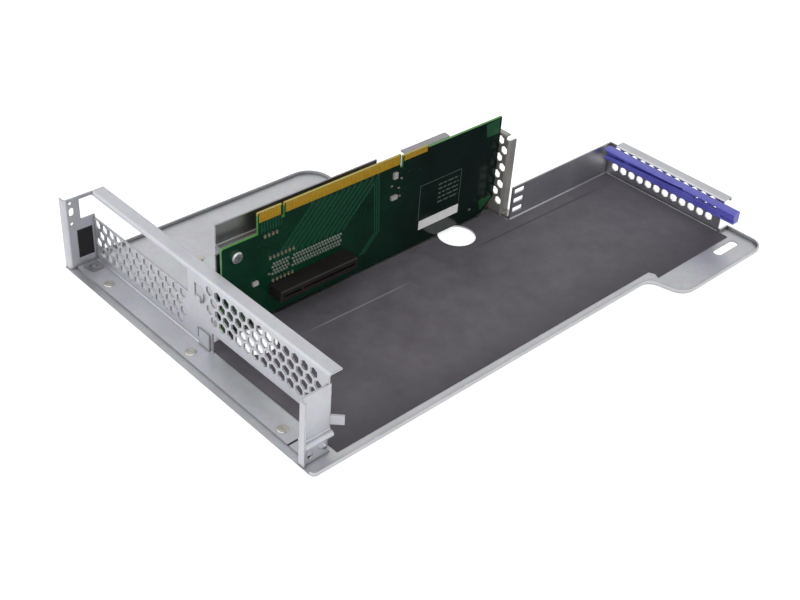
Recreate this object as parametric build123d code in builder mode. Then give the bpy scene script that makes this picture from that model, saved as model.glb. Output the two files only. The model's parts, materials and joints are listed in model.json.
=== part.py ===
import os
from math import sqrt
from build123d import *

# Overall stations, in millimetres
overall_w = 247.0
overall_l = 352.0
left_margin = 4.0
ear_w = 23.0
tray_left = -overall_w / 2
tray_right = overall_w / 2
tray_front = -overall_l / 2
tray_back = overall_l / 2
bracket_left = tray_left + left_margin
main_right = tray_right - ear_w

# Sheet stock
sheet_t = 1.0
mid_t = sheet_t / 2
bend_r = 1.5
tight_r = 1.0
film_t = 0.4
label_t = 0.2
lip_h = 3.0
lip_bevel = 0.6
foot_top = 2 * sheet_t
foot_mid = sheet_t + mid_t
bend_run = 6.0

# Riser board
board_t = 1.6
board_face = bracket_left + 105.8
board_back = board_face - board_t
board_y0 = tray_front + 32.0
board_len = 212.5
board_y1 = board_y0 + board_len
board_z0 = sheet_t + 1.4
tongue_top = 71.3
shoulder_l = 24.0
shoulder_z = tongue_top - 13.5
tail_top = tongue_top - 1.3
board_top = tongue_top - 2.8
key_z = tongue_top - 8.8
board_chamfer = 10.0
board_corner_r = 1.2
tip_bevel = 0.5
key_w = 1.9
short_seg = 16.0
long_seg = 87.2
tail_seg = 20.0
pad_t = 0.15
pad_h = 5.6
pad_edge = 0.7
tail_pad_h = 3.1

# Tray outline
front_corner_r = 3.0
ear_start = tray_back - 89.8
ear_rise = 5.5
ear_inner_r = 8.0
ear_outer_r = 11.0
ear_corner_r = 9.0
wing_end = tray_front + 187.0
wing_corner_r = 16.0
spine_left = bracket_left + 88.0
spine_end = board_y1 + 10.0
spine_corner_r = 5.0
side_wall_x = bracket_left + 119.7
side_wall_h = 24.2
side_wall_y0 = board_y1 + 1.5
side_slot_l = 9.5
side_slot_h = 3.4
side_slot_pitch = 6.8
side_slot_in = 6.6
side_slot_rise = 1.6
far_wall_y = tray_back - 7.7
far_wall_end = main_right - 7.0
far_wall_h = 23.8
rail_gap = 4.5
rail_return = 3.0
ear_back_start = far_wall_end + 1.2
ear_slot_w = 6.0
ear_slot_l = 22.4
ear_slot_x = main_right + 8.0
ear_slot_y = tray_back - 20.6

# Finger holes in the floor
finger_r = 12.0
finger_far = (bracket_left + 113.7, tray_front + 205.2)
finger_near = (bracket_left + 120.0, tray_front + 43.0)

# Vent pattern
vent_pitch = 7.0
vent_r = 3.0
vent_row = vent_pitch * sqrt(3) / 2
vent_edge = 3.6
far_vent_in = 3.1
far_vent_low = lip_h + sheet_t
far_vent_rows = 3

# Rear bracket
rear_gap = 12.0
rear_right = main_right - rear_gap
rear_w = rear_right - bracket_left
rear_h = 47.4
rear_y = tray_front + 18.5
flange_d = 8.6
foot_front = tray_front + 4.5
post_y = tray_front + 0.6
slot_top = 15.1
slot_end_gap = 3.0
near_slot_x0 = bracket_left + 114.3
near_vent_in = 5.0
far_slot_x1 = bracket_left + 93.4
far_slot_h = 14.9
pillar_mid = bracket_left + 103.5
notch_d = 8.2
notch_h = 13.2
pin_hole_r = 1.1
pin_holes = ((4.1, 3.0), (4.1, 16.5))
oval_hole_w = 3.2
oval_hole_l = 5.4
oval_hole = (4.4, 8.6)
right_wall_back = rear_y + 2.0
right_wall_top = 41.5
right_wall_foot = 12.0
right_post_w = 4.4
leg_w = 9.5
leg_step = 3.2
leg_hole_w = 3.0
leg_hole_h = 5.5
gusset_gap = 2.4
gusset_h = 7.0
tongue_l = 7.8
tongue_h = 6.0
tongue_z = 15.6
tongue_turn = 45.0
hook_w = 7.5
hook_h = 9.5
hook_z = 31.0
hook_out = 2.2
low_tab_w = 9.0
low_tab_top = 12.5
low_slit_w = 2.4
low_slit_z = 5.5
low_slit_h = 6.5
foot_slit_x = rear_right - 13.0
foot_slit_w = 1.2
foot_slit_l = 7.5

# Card slot connectors
slot_len = 56.0
slot_w = 7.5
slot_tall = 11.25
slot_y0 = board_y0 + 31.0
slot_gap = 1.8
slot_deep = 8.0
slot_short = 12.2
slot_bar = 1.9
slot_side = 2.2
slot_corner_r = 0.8
slot_bevel = 0.5
near_slot_z = 19.2
back_slot_z = 31.4
pin_w = 0.6
pin_out = 1.0
pin_pitch = 2.0
pin_inner = 1.25
pin_outer = 3.25

# Board bracket
stand_l = 2.0
web_face = board_back - stand_l
web_back = web_face - sheet_t
web_mid = web_face - mid_t
web_y0 = board_y0 - 1.0
web_top = tongue_top - 16.1
web_foot = 9.0
window_gap = 3.5
step_back = 5.2
shield_x = web_back - step_back
shield_top = tongue_top - 3.9
shield_y0 = board_y0 + 3.0
shield_len = 113.5
lift_y0 = board_y0 + 135.0
lift_len = 36.0
lift_top = tongue_top - 3.8
lift_flange = 4.0
return_h = 12.0
stand_r = 3.0
bore_r = 1.6
screw_r = 1.5
screw_head_r = 3.5
screw_head_h = 2.2
screw_bevel = 0.8
drive_r = 1.6
drive_w = 0.8
stand_y_near = board_y0 + 9.3
stand_y_far = board_y1 - 12.5
stand_z_low = 11.0
stand_z_high = tongue_top - 21.4

# End bracket at the far end of the board
end_top = 57.5
end_flange = 6.6
end_right = bracket_left + 114.0
end_vent = 2.0
end_cap = 4.0

# Insulating film
film_left = board_face + 1.2
film_front = rear_y + sheet_t + 1.0
film_margin = 6.0
film_step_y = ear_start + 8.0
film_step = 7.5
film_clear = 0.5

# Card guide
guide_left = side_wall_x + sheet_t + 3.3
guide_over = 7.8
guide_d = 6.0
guide_off = 4.7
guide_z0 = 17.2
guide_h = 7.8
guide_web = 1.5
guide_slope = 1.6
guide_slope_h = 1.0
guide_edge_r = 0.6
guide_block = 13.0
guide_flare = 7.0
guide_flare_low = 1.6
guide_flare_high = 1.2
gap_low = 3.0
gap_h = 2.2
gap_rise = 2.1
gap_narrow = 0.3
window_rise = 1.3
gap_shallow = 1.0
bump_in = 9.0
bump_w = 3.5
bump_d = 2.4
boss_r = 2.2
boss_z = 2.3
boss_first = 1
grip_l = 10.0
grip_h = 1.8
grip_d = 1.4
window_w = 3.4
window_count = 3
window_end = 3.0
window_zone = 8.3
pocket_wall = 1.2

# Rivets, nut, labels and small board parts
rivet_r = 3.2
rivet_h = 0.6
rivet_taper = 40.0
end_rivet_r = 1.8
foot_rivet_in = 27.5
foot_rivet_mid = bracket_left + 106.5
foot_rivet_end = 23.0
foot_rivet_y = tray_front + 9.6
wing_rivet = (bracket_left + 36.4, tray_front + 65.5)
web_rivet_y = (18.0, 84.0, 150.0, 204.0)
nut_side = 8.6
nut_corner_r = 1.2
nut_h = 0.9
nut_hole_r = 2.2
nut_x = bracket_left + 7.7
nut_y = tray_front + 11.8
black_label_y = tray_front + 7.2
black_label_w = 9.8
black_label_z = 7.0
black_label_h = 18.6
white_label_y = board_y0 + 146.0
white_label_w = 34.0
white_label_z = 12.0
white_label_h = 6.2
cap_l = 2.0
cap_w = 1.2
cap_h = 1.0
cap_pitch = 2.7
cap_upper = (board_y0 + 31.0, back_slot_z + 7.6)
cap_upper_count = 7
cap_lower = (board_y0 + 33.0, back_slot_z - 8.0)
cap_lower_count = 6
cap_edge = (board_y0 + 27.5, tongue_top - 16.9)
cap_edge_count = 4
chip_h = 1.5
chip_mid = (board_y0 + 122.8, tongue_top - 27.0)
chip_mid_size = (4.6, 2.6)
chip_high = (board_y0 + 123.0, tongue_top - 12.3)
chip_high_size = (3.0, 4.0)
chip_low = (board_y0 + 21.3, near_slot_z + 8.4)
chip_low_size = (3.6, 2.4)

os.makedirs("parts", exist_ok=True)


def pane(u, v, mode=Mode.ADD):
    """Rectangle between two stations on each sketch axis."""
    with Locations(((u[0] + u[1]) / 2, (v[0] + v[1]) / 2)):
        Rectangle(abs(u[1] - u[0]), abs(v[1] - v[0]), mode=mode)


def fold(plane, points, radius=bend_r):
    """Section of a folded sheet, drawn along the middle of its thickness."""
    with BuildSketch(plane) as section:
        with BuildLine():
            FilletPolyline(*points, radius=radius)
        trace(line_width=sheet_t)
    return section.sketch


def vents(u, v):
    """Centres of a staggered vent field inside two spans, counted from the top row."""
    rows = int((v[1] - v[0] - 2 * vent_edge) / vent_row) + 1
    spots = []
    for row in range(rows):
        shift = vent_pitch / 2 * (row % 2)
        count = int((u[1] - u[0] - 2 * vent_edge - shift) / vent_pitch) + 1
        for k in range(count):
            spots.append((u[0] + vent_edge + shift + k * vent_pitch, v[1] - vent_edge - row * vent_row))
    return spots


def near(sketch, x, y):
    """Corner of a sketch closest to a point."""
    return sketch.vertices().sort_by_distance((x, y, 0))[0]


# Tray: floor with an upturned lip, side wall, vented far wall and rail
wall_in = side_wall_x + sheet_t
far_in = far_wall_y - sheet_t
rail_left = wall_in + rail_gap
far_vent_top = far_vent_low + 2 * vent_edge + (far_vent_rows - 1) * vent_row + film_t
with BuildSketch() as outline:
    with BuildLine():
        Polyline(
            (tray_left, tray_front),
            (main_right, tray_front),
            (main_right, ear_start),
            (tray_right, ear_start + ear_rise),
            (tray_right, tray_back),
            (ear_back_start, tray_back),
            (ear_back_start, far_wall_y),
            (side_wall_x, far_wall_y),
            (side_wall_x, spine_end),
            (spine_left, spine_end),
            (spine_left, wing_end),
            (tray_left, wing_end),
            close=True,
        )
    make_face()
    fillet(near(outline, main_right, tray_front), front_corner_r)
    fillet(near(outline, main_right, ear_start), ear_inner_r)
    fillet(near(outline, tray_right, ear_start + ear_rise), ear_outer_r)
    fillet(near(outline, tray_right, tray_back), ear_corner_r)
    fillet(near(outline, tray_left, wing_end), wing_corner_r)
    fillet([near(outline, spine_left, wing_end), near(outline, spine_left, spine_end)], spine_corner_r)

with BuildPart() as tray:
    with BuildSketch(Plane.XY):
        add(outline.sketch)
    extrude(amount=lip_h)
    chamfer(tray.faces().sort_by(Axis.Z)[0].edges(), lip_bevel)
    with BuildSketch(Plane.XY.offset(sheet_t)):
        offset(outline.sketch, amount=-sheet_t)
        pane((tray_left, main_right - front_corner_r), (tray_front, tray_front + 2 * sheet_t))
        pane((tray_left, tray_left + 2 * sheet_t), (tray_front, rear_y + 2 * sheet_t))
        pane((web_back - web_foot, side_wall_x), (spine_end - 2 * sheet_t, spine_end))
    extrude(amount=lip_h, mode=Mode.SUBTRACT)
    extrude(
        fold(Plane.XZ.offset(-side_wall_y0),
             [(wall_in + bend_run, mid_t), (wall_in - mid_t, mid_t), (wall_in - mid_t, side_wall_h)]),
        amount=side_wall_y0 - far_wall_y,
    )
    extrude(
        fold(Plane.YZ.offset(side_wall_x),
             [(far_in - bend_run, mid_t), (far_in + mid_t, mid_t), (far_in + mid_t, side_wall_h)]),
        amount=rail_left - side_wall_x,
    )
    extrude(
        fold(Plane.YZ.offset(rail_left),
             [(far_in - bend_run, mid_t), (far_in + mid_t, mid_t), (far_in + mid_t, far_wall_h - mid_t),
              (tray_back - mid_t, far_wall_h - mid_t), (tray_back - mid_t, far_wall_h - rail_return)],
             tight_r),
        amount=far_wall_end - rail_left,
    )
    with BuildSketch(Plane.XZ.offset(-far_in)):
        with Locations(*vents((wall_in + far_vent_in, far_wall_end), (far_vent_low, far_vent_top))):
            RegularPolygon(vent_r, 6, rotation=30)
    extrude(amount=-sheet_t, mode=Mode.SUBTRACT)
    with BuildSketch(Plane.YZ.offset(side_wall_x)):
        with Locations((side_wall_y0 + side_slot_in, side_wall_h / 2 + side_slot_rise)):
            with GridLocations(side_slot_l, side_slot_pitch, 1, 3):
                Rectangle(side_slot_l, side_slot_h)
    extrude(amount=sheet_t, mode=Mode.SUBTRACT)
    with BuildSketch(Plane.XY):
        with Locations(finger_far, finger_near):
            Circle(finger_r)
        with Locations((ear_slot_x, ear_slot_y)):
            SlotOverall(ear_slot_l, ear_slot_w, rotation=90)
    extrude(amount=sheet_t, mode=Mode.SUBTRACT)
tray.part.label = "tray"
export_step(tray.part, "parts/tray.step")

# Rear bracket: foot, vented wall and top flange from one sheet, with folded end walls
near_slot_x1 = rear_right - slot_end_gap
left_in = bracket_left + sheet_t
far_slot_top = rear_h - mid_t - bend_r
far_slot_z0 = far_slot_top - far_slot_h
post_mid = post_y + mid_t
leg_mid = rear_right + leg_step - mid_t
leg_back = post_y + leg_w
leg_low = right_wall_foot - bend_r - mid_t
right_wall_low = right_wall_foot + 2 * bend_r
with BuildPart() as rear_bracket:
    extrude(
        fold(Plane.YZ.offset(bracket_left),
             [(foot_front, foot_mid), (rear_y + mid_t, foot_mid), (rear_y + mid_t, rear_h - mid_t),
              (rear_y + flange_d, rear_h - mid_t)]),
        amount=rear_w,
    )
    extrude(
        fold(Plane.XY.offset(sheet_t),
             [(tray_left, post_mid), (left_in - mid_t, post_mid), (left_in - mid_t, rear_y + sheet_t)]),
        amount=rear_h - sheet_t,
    )
    extrude(
        fold(Plane.XY.offset(right_wall_low),
             [(rear_right + right_post_w, post_mid), (rear_right - mid_t, post_mid),
              (rear_right - mid_t, right_wall_back)]),
        amount=right_wall_top - right_wall_low,
    )
    with BuildSketch(Plane.XY.offset(sheet_t)):
        pane((rear_right, rear_right + right_post_w), (post_y, post_y + sheet_t))
    extrude(amount=right_wall_low)
    extrude(
        fold(Plane.XZ.offset(-post_mid),
             [(rear_right - mid_t, right_wall_foot + bend_run), (rear_right - mid_t, right_wall_foot),
              (leg_mid, right_wall_foot), (leg_mid, sheet_t)]),
        amount=post_mid - right_wall_back,
    )
    with BuildSketch(Plane.YZ.offset(rear_right)):
        with BuildLine():
            Polyline(
                (leg_back, leg_low),
                (leg_back, sheet_t + gusset_h),
                (right_wall_back - gusset_gap, sheet_t),
                (right_wall_back, sheet_t),
                (right_wall_back, leg_low),
                close=True,
            )
        make_face()
        with Locations((leg_back - leg_w / 2, right_wall_foot / 2)):
            SlotOverall(leg_hole_h, leg_hole_w, rotation=90)
    extrude(amount=leg_step, mode=Mode.SUBTRACT)
    with BuildSketch(Plane.XY.offset(tongue_z)):
        with Locations((rear_right - mid_t, right_wall_back - mid_t)):
            Rectangle(tongue_l, sheet_t, rotation=tongue_turn, align=(Align.MIN, Align.CENTER))
    extrude(amount=tongue_h)
    with BuildSketch(Plane.XZ.offset(bend_r - rear_y)):
        pane((near_slot_x0, near_slot_x1), (foot_top, slot_top))
        pane((left_in, far_slot_x1), (far_slot_z0, far_slot_top))
        with Locations(*vents((near_slot_x0 - near_vent_in, rear_right - sheet_t),
                              (slot_top, rear_h - foot_top))):
            RegularPolygon(vent_r, 6, rotation=30)
        with Locations(*vents((left_in, far_slot_x1), (foot_top + mid_t, far_slot_z0))):
            RegularPolygon(vent_r, 6, rotation=30)
        pane((pillar_mid - hook_w / 2, pillar_mid + hook_w / 2), (hook_z, hook_z + hook_h))
        pane((pillar_mid - low_slit_w, pillar_mid), (low_slit_z, low_slit_z + low_slit_h))
    extrude(amount=-(bend_r + sheet_t), mode=Mode.SUBTRACT)
    extrude(
        fold(Plane.YZ.offset(pillar_mid),
             [(rear_y + sheet_t, hook_z + mid_t), (rear_y - hook_out + mid_t, hook_z + mid_t),
              (rear_y - hook_out + mid_t, hook_z + hook_h / 2)], tight_r),
        amount=hook_w / 2,
    )
    with BuildSketch(Plane.XZ.offset(sheet_t - rear_y)):
        pane((pillar_mid, pillar_mid + low_tab_w), (foot_top, low_tab_top))
    extrude(amount=-sheet_t)
    with BuildSketch(Plane.YZ.offset(bracket_left)):
        pane((rear_y - notch_d, rear_y + sheet_t), (far_slot_top - notch_h, far_slot_top))
        with Locations(*[(post_y + y, rear_h - z) for y, z in pin_holes]):
            Circle(pin_hole_r)
        with Locations((post_y + oval_hole[0], rear_h - oval_hole[1])):
            SlotOverall(oval_hole_l, oval_hole_w, rotation=90)
    extrude(amount=sheet_t, mode=Mode.SUBTRACT)
    with BuildSketch(Plane.XY.offset(sheet_t)):
        pane((foot_slit_x, foot_slit_x + foot_slit_w), (foot_front, foot_front + foot_slit_l))
    extrude(amount=sheet_t, mode=Mode.SUBTRACT)
rear_bracket.part.label = "rear_bracket"
export_step(rear_bracket.part, "parts/rear_bracket.step")

# Insulating film on the floor of the deep card bay
film_right = main_right - film_margin
film_back = far_in - tight_r
film_wall = wall_in + bend_r
with BuildPart() as film:
    with BuildSketch(Plane.XY.offset(sheet_t)):
        with BuildLine():
            Polyline(
                (film_left, film_front),
                (film_right, film_front),
                (film_right, film_step_y),
                (film_right + film_step / 2, film_step_y + film_step / 4),
                (film_right + film_step, film_step_y),
                (film_right + film_step, film_back),
                (film_wall, film_back),
                (film_wall, board_y1 - film_clear),
                (film_left, board_y1 - film_clear),
                close=True,
            )
        make_face()
        with Locations(finger_far, finger_near):
            Circle(finger_r, mode=Mode.SUBTRACT)
    extrude(amount=film_t)
film.part.label = "insulating_film"
export_step(film.part, "parts/insulating_film.step")

# Riser board with a stepped, keyed and bevelled top edge
seg1 = board_y0 + shoulder_l
key1 = seg1 + short_seg
seg2 = key1 + key_w
key2 = seg2 + long_seg - key_w
seg3 = key2 + key_w
seg_end = seg3 + tail_seg
with BuildPart() as board:
    with BuildSketch(Plane.YZ.offset(board_back)) as board_outline:
        with BuildLine():
            Polyline(
                (board_y0, board_z0),
                (board_y1 - board_chamfer, board_z0),
                (board_y1, board_z0 + board_chamfer),
                (board_y1, board_top),
                (seg_end, board_top),
                (seg_end, tail_top),
                (seg3, tail_top),
                (seg3, key_z),
                (key2, key_z),
                (key2, tongue_top),
                (seg2, tongue_top),
                (seg2, key_z),
                (key1, key_z),
                (key1, tongue_top),
                (seg1, tongue_top),
                (seg1, shoulder_z),
                (board_y0, shoulder_z),
                close=True,
            )
        make_face()
        fillet(near(board_outline, board_y0, shoulder_z), board_corner_r)
        with Locations((stand_y_near, stand_z_high)):
            Circle(bore_r, mode=Mode.SUBTRACT)
    extrude(amount=board_t)
    tips = board.faces().filter_by(Axis.Z).filter_by(lambda face: face.center().Z > board_top)
    chamfer(tips.edges().filter_by(Axis.Y), tip_bevel)
board.part.label = "riser_board"
export_step(board.part, "parts/riser_board.step")

# Gold pads on both faces of the board's top edge
with BuildPart() as pads:
    for plane in (Plane.YZ.offset(board_face), Plane.YZ.offset(board_back - pad_t)):
        with BuildSketch(plane):
            for a, b, top, tall in (
                (seg1, key1, tongue_top, pad_h),
                (seg2, key2, tongue_top, pad_h),
                (seg3, seg_end, tail_top, tail_pad_h),
            ):
                pane((a + pad_edge, b - pad_edge), (top - pad_edge - tall, top - pad_edge))
        extrude(amount=pad_t)
pads.part.label = "edge_pads"
export_step(pads.part, "parts/edge_pads.step")

# Two card slots, back to back on the board, each with its tails through to the other face
mouth_first = slot_y0 + slot_side
mouth_second = mouth_first + slot_short + slot_bar
mouth_last = slot_y0 + slot_len - slot_side


def tails(z):
    """Solder tail centres in four staggered rows, left out at the key bar."""
    rows = ((-pin_outer, 0), (-pin_inner, pin_pitch / 2), (pin_inner, 0), (pin_outer, pin_pitch / 2))
    spots = []
    for start, stop in ((mouth_first, mouth_first + slot_short), (mouth_second, mouth_last)):
        for k in range(int((stop - start) / pin_pitch)):
            spots += [(start + pin_w + k * pin_pitch + shift, z + drop) for drop, shift in rows]
    return spots


for name, other, face, back, side, z in (
    ("card_slot_near", "solder_tails_far", board_face, board_back, 1, near_slot_z),
    ("card_slot_far", "solder_tails_near", board_back, board_face, -1, back_slot_z),
):
    with BuildPart() as housing:
        with BuildSketch(Plane.YZ.offset(face)):
            with Locations((slot_y0 + slot_len / 2, z)):
                RectangleRounded(slot_len, slot_w, slot_corner_r)
        extrude(amount=side * slot_tall)
        chamfer(housing.faces().sort_by(Axis.X)[-1 if side > 0 else 0].edges(), slot_bevel)
        with BuildSketch(Plane.YZ.offset(face + side * slot_tall)):
            pane((mouth_first, mouth_first + slot_short), (z - slot_gap / 2, z + slot_gap / 2))
            pane((mouth_second, mouth_last), (z - slot_gap / 2, z + slot_gap / 2))
        extrude(amount=-side * slot_deep, mode=Mode.SUBTRACT)
    housing.part.label = name
    export_step(housing.part, f"parts/{name}.step")

    with BuildPart() as stubs:
        with BuildSketch(Plane.YZ.offset(back)):
            with Locations(*tails(z)):
                Rectangle(pin_w, pin_w)
        extrude(amount=-side * pin_out)
    stubs.part.label = other
    export_step(stubs.part, f"parts/{other}.step")

# Board bracket: web behind the board on a folded foot, with a stepped shield and a raised strip
shield_mid = shield_x + mid_t
shield_end = shield_y0 + shield_len
web_low = web_top - bend_r - mid_t
window_y = (slot_y0 - window_gap, slot_y0 + slot_len + window_gap)
window_z = (back_slot_z - slot_w / 2 - window_gap, back_slot_z + slot_w / 2 + window_gap)
stands = (
    (stand_y_near, stand_z_low),
    (stand_y_near, stand_z_high),
    (stand_y_far, stand_z_low),
    (stand_y_far, stand_z_high),
)
with BuildPart() as web:
    extrude(
        fold(Plane.XZ.offset(-web_y0),
             [(web_back - web_foot, foot_mid), (web_mid, foot_mid), (web_mid, web_low)]),
        amount=web_y0 - board_y1,
    )
    extrude(
        fold(Plane.XZ.offset(-shield_y0),
             [(web_mid, web_low - bend_run), (web_mid, web_top - mid_t), (shield_mid, web_top - mid_t),
              (shield_mid, shield_top)]),
        amount=-shield_len,
    )
    with BuildSketch(Plane.YZ.offset(web_back)):
        pane((shield_end, board_y1), (web_low, web_top))
    extrude(amount=sheet_t)
    extrude(
        fold(Plane.XZ.offset(-lift_y0),
             [(web_mid, web_low), (web_mid, lift_top - mid_t), (web_back - lift_flange, lift_top - mid_t)]),
        amount=-lift_len,
    )
    with BuildSketch(Plane.XZ.offset(-shield_y0)):
        pane((shield_x, web_mid), (web_top - return_h, web_top - mid_t))
    extrude(amount=-sheet_t)
    with BuildSketch(Plane.YZ.offset(web_back)):
        pane(window_y, window_z)
        with Locations((stand_y_near, stand_z_high)):
            Circle(bore_r)
    extrude(amount=sheet_t, mode=Mode.SUBTRACT)
web.part.label = "board_bracket"
export_step(web.part, "parts/board_bracket.step")

with BuildPart() as standoffs:
    with BuildSketch(Plane.YZ.offset(web_face)):
        with Locations(*stands):
            RegularPolygon(stand_r, 6)
        with Locations((stand_y_near, stand_z_high)):
            Circle(bore_r, mode=Mode.SUBTRACT)
    extrude(amount=stand_l)
standoffs.part.label = "standoffs"
export_step(standoffs.part, "parts/standoffs.step")

with BuildPart() as screw:
    with BuildSketch(Plane.YZ.offset(board_face)):
        with Locations((stand_y_near, stand_z_high)):
            Circle(screw_head_r)
    extrude(amount=screw_head_h)
    chamfer(screw.faces().sort_by(Axis.X)[-1].edges(), screw_bevel)
    with BuildSketch(Plane.YZ.offset(web_back)):
        with Locations((stand_y_near, stand_z_high)):
            Circle(screw_r)
    extrude(amount=board_face - web_back)
    with BuildSketch(Plane.YZ.offset(board_face + screw_head_h)):
        with Locations((stand_y_near, stand_z_high)):
            Rectangle(2 * drive_r, drive_w)
            Rectangle(drive_w, 2 * drive_r)
    extrude(amount=-screw_head_h / 2, mode=Mode.SUBTRACT)
screw.part.label = "board_screw"
export_step(screw.part, "parts/board_screw.step")

# End bracket: vented plate with a folded edge, cap and foot, closing the board's far end
end_back = board_y1 + end_flange
end_mid = end_right - mid_t
end_foot = side_wall_x - film_clear
with BuildPart() as end_bracket:
    extrude(
        fold(Plane.XY.offset(sheet_t),
             [(web_back, board_y1 + mid_t), (end_mid, board_y1 + mid_t), (end_mid, end_back)]),
        amount=end_top - 2 * bend_r - sheet_t,
    )
    extrude(
        fold(Plane.YZ.offset(web_back),
             [(board_y1 + mid_t, end_top - bend_run), (board_y1 + mid_t, end_top - mid_t),
              (board_y1 + end_cap, end_top - mid_t)]),
        amount=end_right - web_back - 2 * bend_r,
    )
    extrude(
        fold(Plane.XZ.offset(-board_y1 - bend_r),
             [(end_mid, foot_mid + bend_run), (end_mid, foot_mid), (end_foot, foot_mid)]),
        amount=bend_r - end_flange,
    )
    with BuildSketch(Plane.XZ.offset(-board_y1)):
        with Locations(*vents((web_back + end_vent, end_right + end_vent), (foot_top, end_top - sheet_t))):
            RegularPolygon(vent_r, 6, rotation=30)
    extrude(amount=-sheet_t, mode=Mode.SUBTRACT)
end_bracket.part.label = "end_bracket"
export_step(end_bracket.part, "parts/end_bracket.step")

# Card guide: a grooved channel standing off the far wall on three bosses
guide_right = main_right + guide_over
guide_len = guide_right - guide_left
guide_back = far_in - guide_off
guide_face = guide_back - guide_d
guide_top = guide_z0 + guide_h
gap_z = guide_z0 + gap_low
window_z0 = gap_z + window_rise
block_start = guide_right - guide_block
windows = [block_start - window_end - k * vent_pitch for k in range(window_count)]
deep_end = windows[-1] - window_w / 2 - window_zone
flare_x = guide_left + guide_flare
bump_x = flare_x + bump_in
boss_x0 = wall_in + far_vent_in + vent_edge + vent_pitch / 2
boss_last = int((deep_end - boss_r - boss_x0) / vent_pitch)
boss_steps = {boss_first, (boss_first + boss_last) // 2, boss_last}
boss_x = [boss_x0 + step * vent_pitch for step in sorted(boss_steps)]
with BuildPart() as guide:
    with BuildSketch(Plane.YZ.offset(guide_left)) as guide_section:
        with BuildLine():
            Polyline(
                (guide_face, guide_z0),
                (guide_back, guide_z0),
                (guide_back, guide_top),
                (guide_face + guide_slope, guide_top),
                (guide_face, guide_top - guide_slope_h),
                close=True,
            )
        make_face()
        fillet([near(guide_section, guide_face, guide_z0), near(guide_section, guide_back, guide_top)],
               guide_edge_r)
    extrude(amount=guide_len)
    with BuildSketch(Plane.XZ.offset(-guide_face)):
        with BuildLine():
            Polyline(
                (guide_left, gap_z - guide_flare_low),
                (flare_x, gap_z),
                (deep_end, gap_z + gap_rise),
                (deep_end, gap_z + gap_rise + gap_h - gap_narrow),
                (flare_x, gap_z + gap_h),
                (guide_left, gap_z + gap_h + guide_flare_high),
                close=True,
            )
        make_face()
    extrude(amount=guide_web - guide_d, mode=Mode.SUBTRACT)
    with BuildSketch(Plane.XZ.offset(-guide_face)):
        pane((deep_end, block_start), (window_z0, window_z0 + gap_h))
    extrude(amount=-gap_shallow, mode=Mode.SUBTRACT)
    with BuildSketch(Plane.XZ.offset(-guide_back)):
        pane((windows[-1] - window_w, block_start), (guide_z0 + pocket_wall, guide_top - pocket_wall))
    extrude(amount=guide_d - gap_shallow - guide_web, mode=Mode.SUBTRACT)
    with BuildSketch(Plane.XZ.offset(-guide_face)):
        for x in windows:
            pane((x - window_w / 2, x + window_w / 2), (window_z0, window_z0 + gap_h))
    extrude(amount=-guide_d, mode=Mode.SUBTRACT)
    with BuildSketch(Plane.XZ.offset(guide_web - guide_back)):
        pane((bump_x, bump_x + bump_w), (guide_z0 + guide_web, guide_top - guide_web))
    extrude(amount=bump_d)
    with BuildSketch(Plane.XZ.offset(-guide_face)):
        pane((guide_right - grip_l, guide_right), (gap_z - grip_h, gap_z))
    extrude(amount=-grip_d, mode=Mode.SUBTRACT)
    with BuildSketch(Plane.XZ.offset(-guide_back)):
        with Locations(*[(x, guide_z0 + boss_z) for x in boss_x]):
            Circle(boss_r)
    extrude(amount=-guide_off)
guide.part.label = "card_guide"
export_step(guide.part, "parts/card_guide.step")

# Rivet heads, each a low cone on its sheet
foot_rivet_x = (bracket_left + foot_rivet_in, foot_rivet_mid, rear_right - foot_rivet_end)
end_rivet_x = (end_right + bend_r + end_foot) / 2
end_rivet_y = (board_y1 + bend_r + end_back) / 2
for name, level, radius, spots in (
    ("foot_rivets", foot_top, rivet_r, [(x, foot_rivet_y) for x in foot_rivet_x]),
    ("web_rivets", foot_top, rivet_r, [(web_back - web_foot / 2, web_y0 + s) for s in web_rivet_y]),
    ("end_rivet", foot_top, end_rivet_r, [(end_rivet_x, end_rivet_y)]),
    ("wing_rivet", sheet_t, rivet_r, [wing_rivet]),
):
    with BuildPart() as heads:
        with BuildSketch(Plane.XY.offset(level)):
            with Locations(*spots):
                Circle(radius)
        extrude(amount=rivet_h, taper=rivet_taper)
    heads.part.label = name
    export_step(heads.part, f"parts/{name}.step")

with BuildPart() as nut:
    with BuildSketch(Plane.XY.offset(foot_top)):
        with Locations((nut_x, nut_y)):
            RectangleRounded(nut_side, nut_side, nut_corner_r)
            Circle(nut_hole_r, mode=Mode.SUBTRACT)
    extrude(amount=nut_h)
nut.part.label = "clinch_nut"
export_step(nut.part, "parts/clinch_nut.step")

# Bare labels on the left end wall and the board
for name, x, y, z, w, h in (
    ("end_label", left_in, black_label_y, black_label_z, black_label_w, black_label_h),
    ("board_label", board_face, white_label_y, white_label_z, white_label_w, white_label_h),
):
    with BuildPart() as label:
        with BuildSketch(Plane.YZ.offset(x)):
            with Locations((y + w / 2, z + h / 2)):
                Rectangle(w, h)
        extrude(amount=label_t)
    label.part.label = name
    export_step(label.part, f"parts/{name}.step")

# Small parts soldered to the near face of the board
with BuildPart() as capacitors:
    with BuildSketch(Plane.YZ.offset(board_face)):
        for first, count in (
            (cap_upper, cap_upper_count),
            (cap_lower, cap_lower_count),
            (cap_edge, cap_edge_count),
        ):
            with Locations(*[(first[0] + k * cap_pitch, first[1] + cap_l / 2) for k in range(count)]):
                Rectangle(cap_w, cap_l, align=(Align.MIN, Align.CENTER))
    extrude(amount=cap_h)
capacitors.part.label = "capacitors"
export_step(capacitors.part, "parts/capacitors.step")

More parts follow.
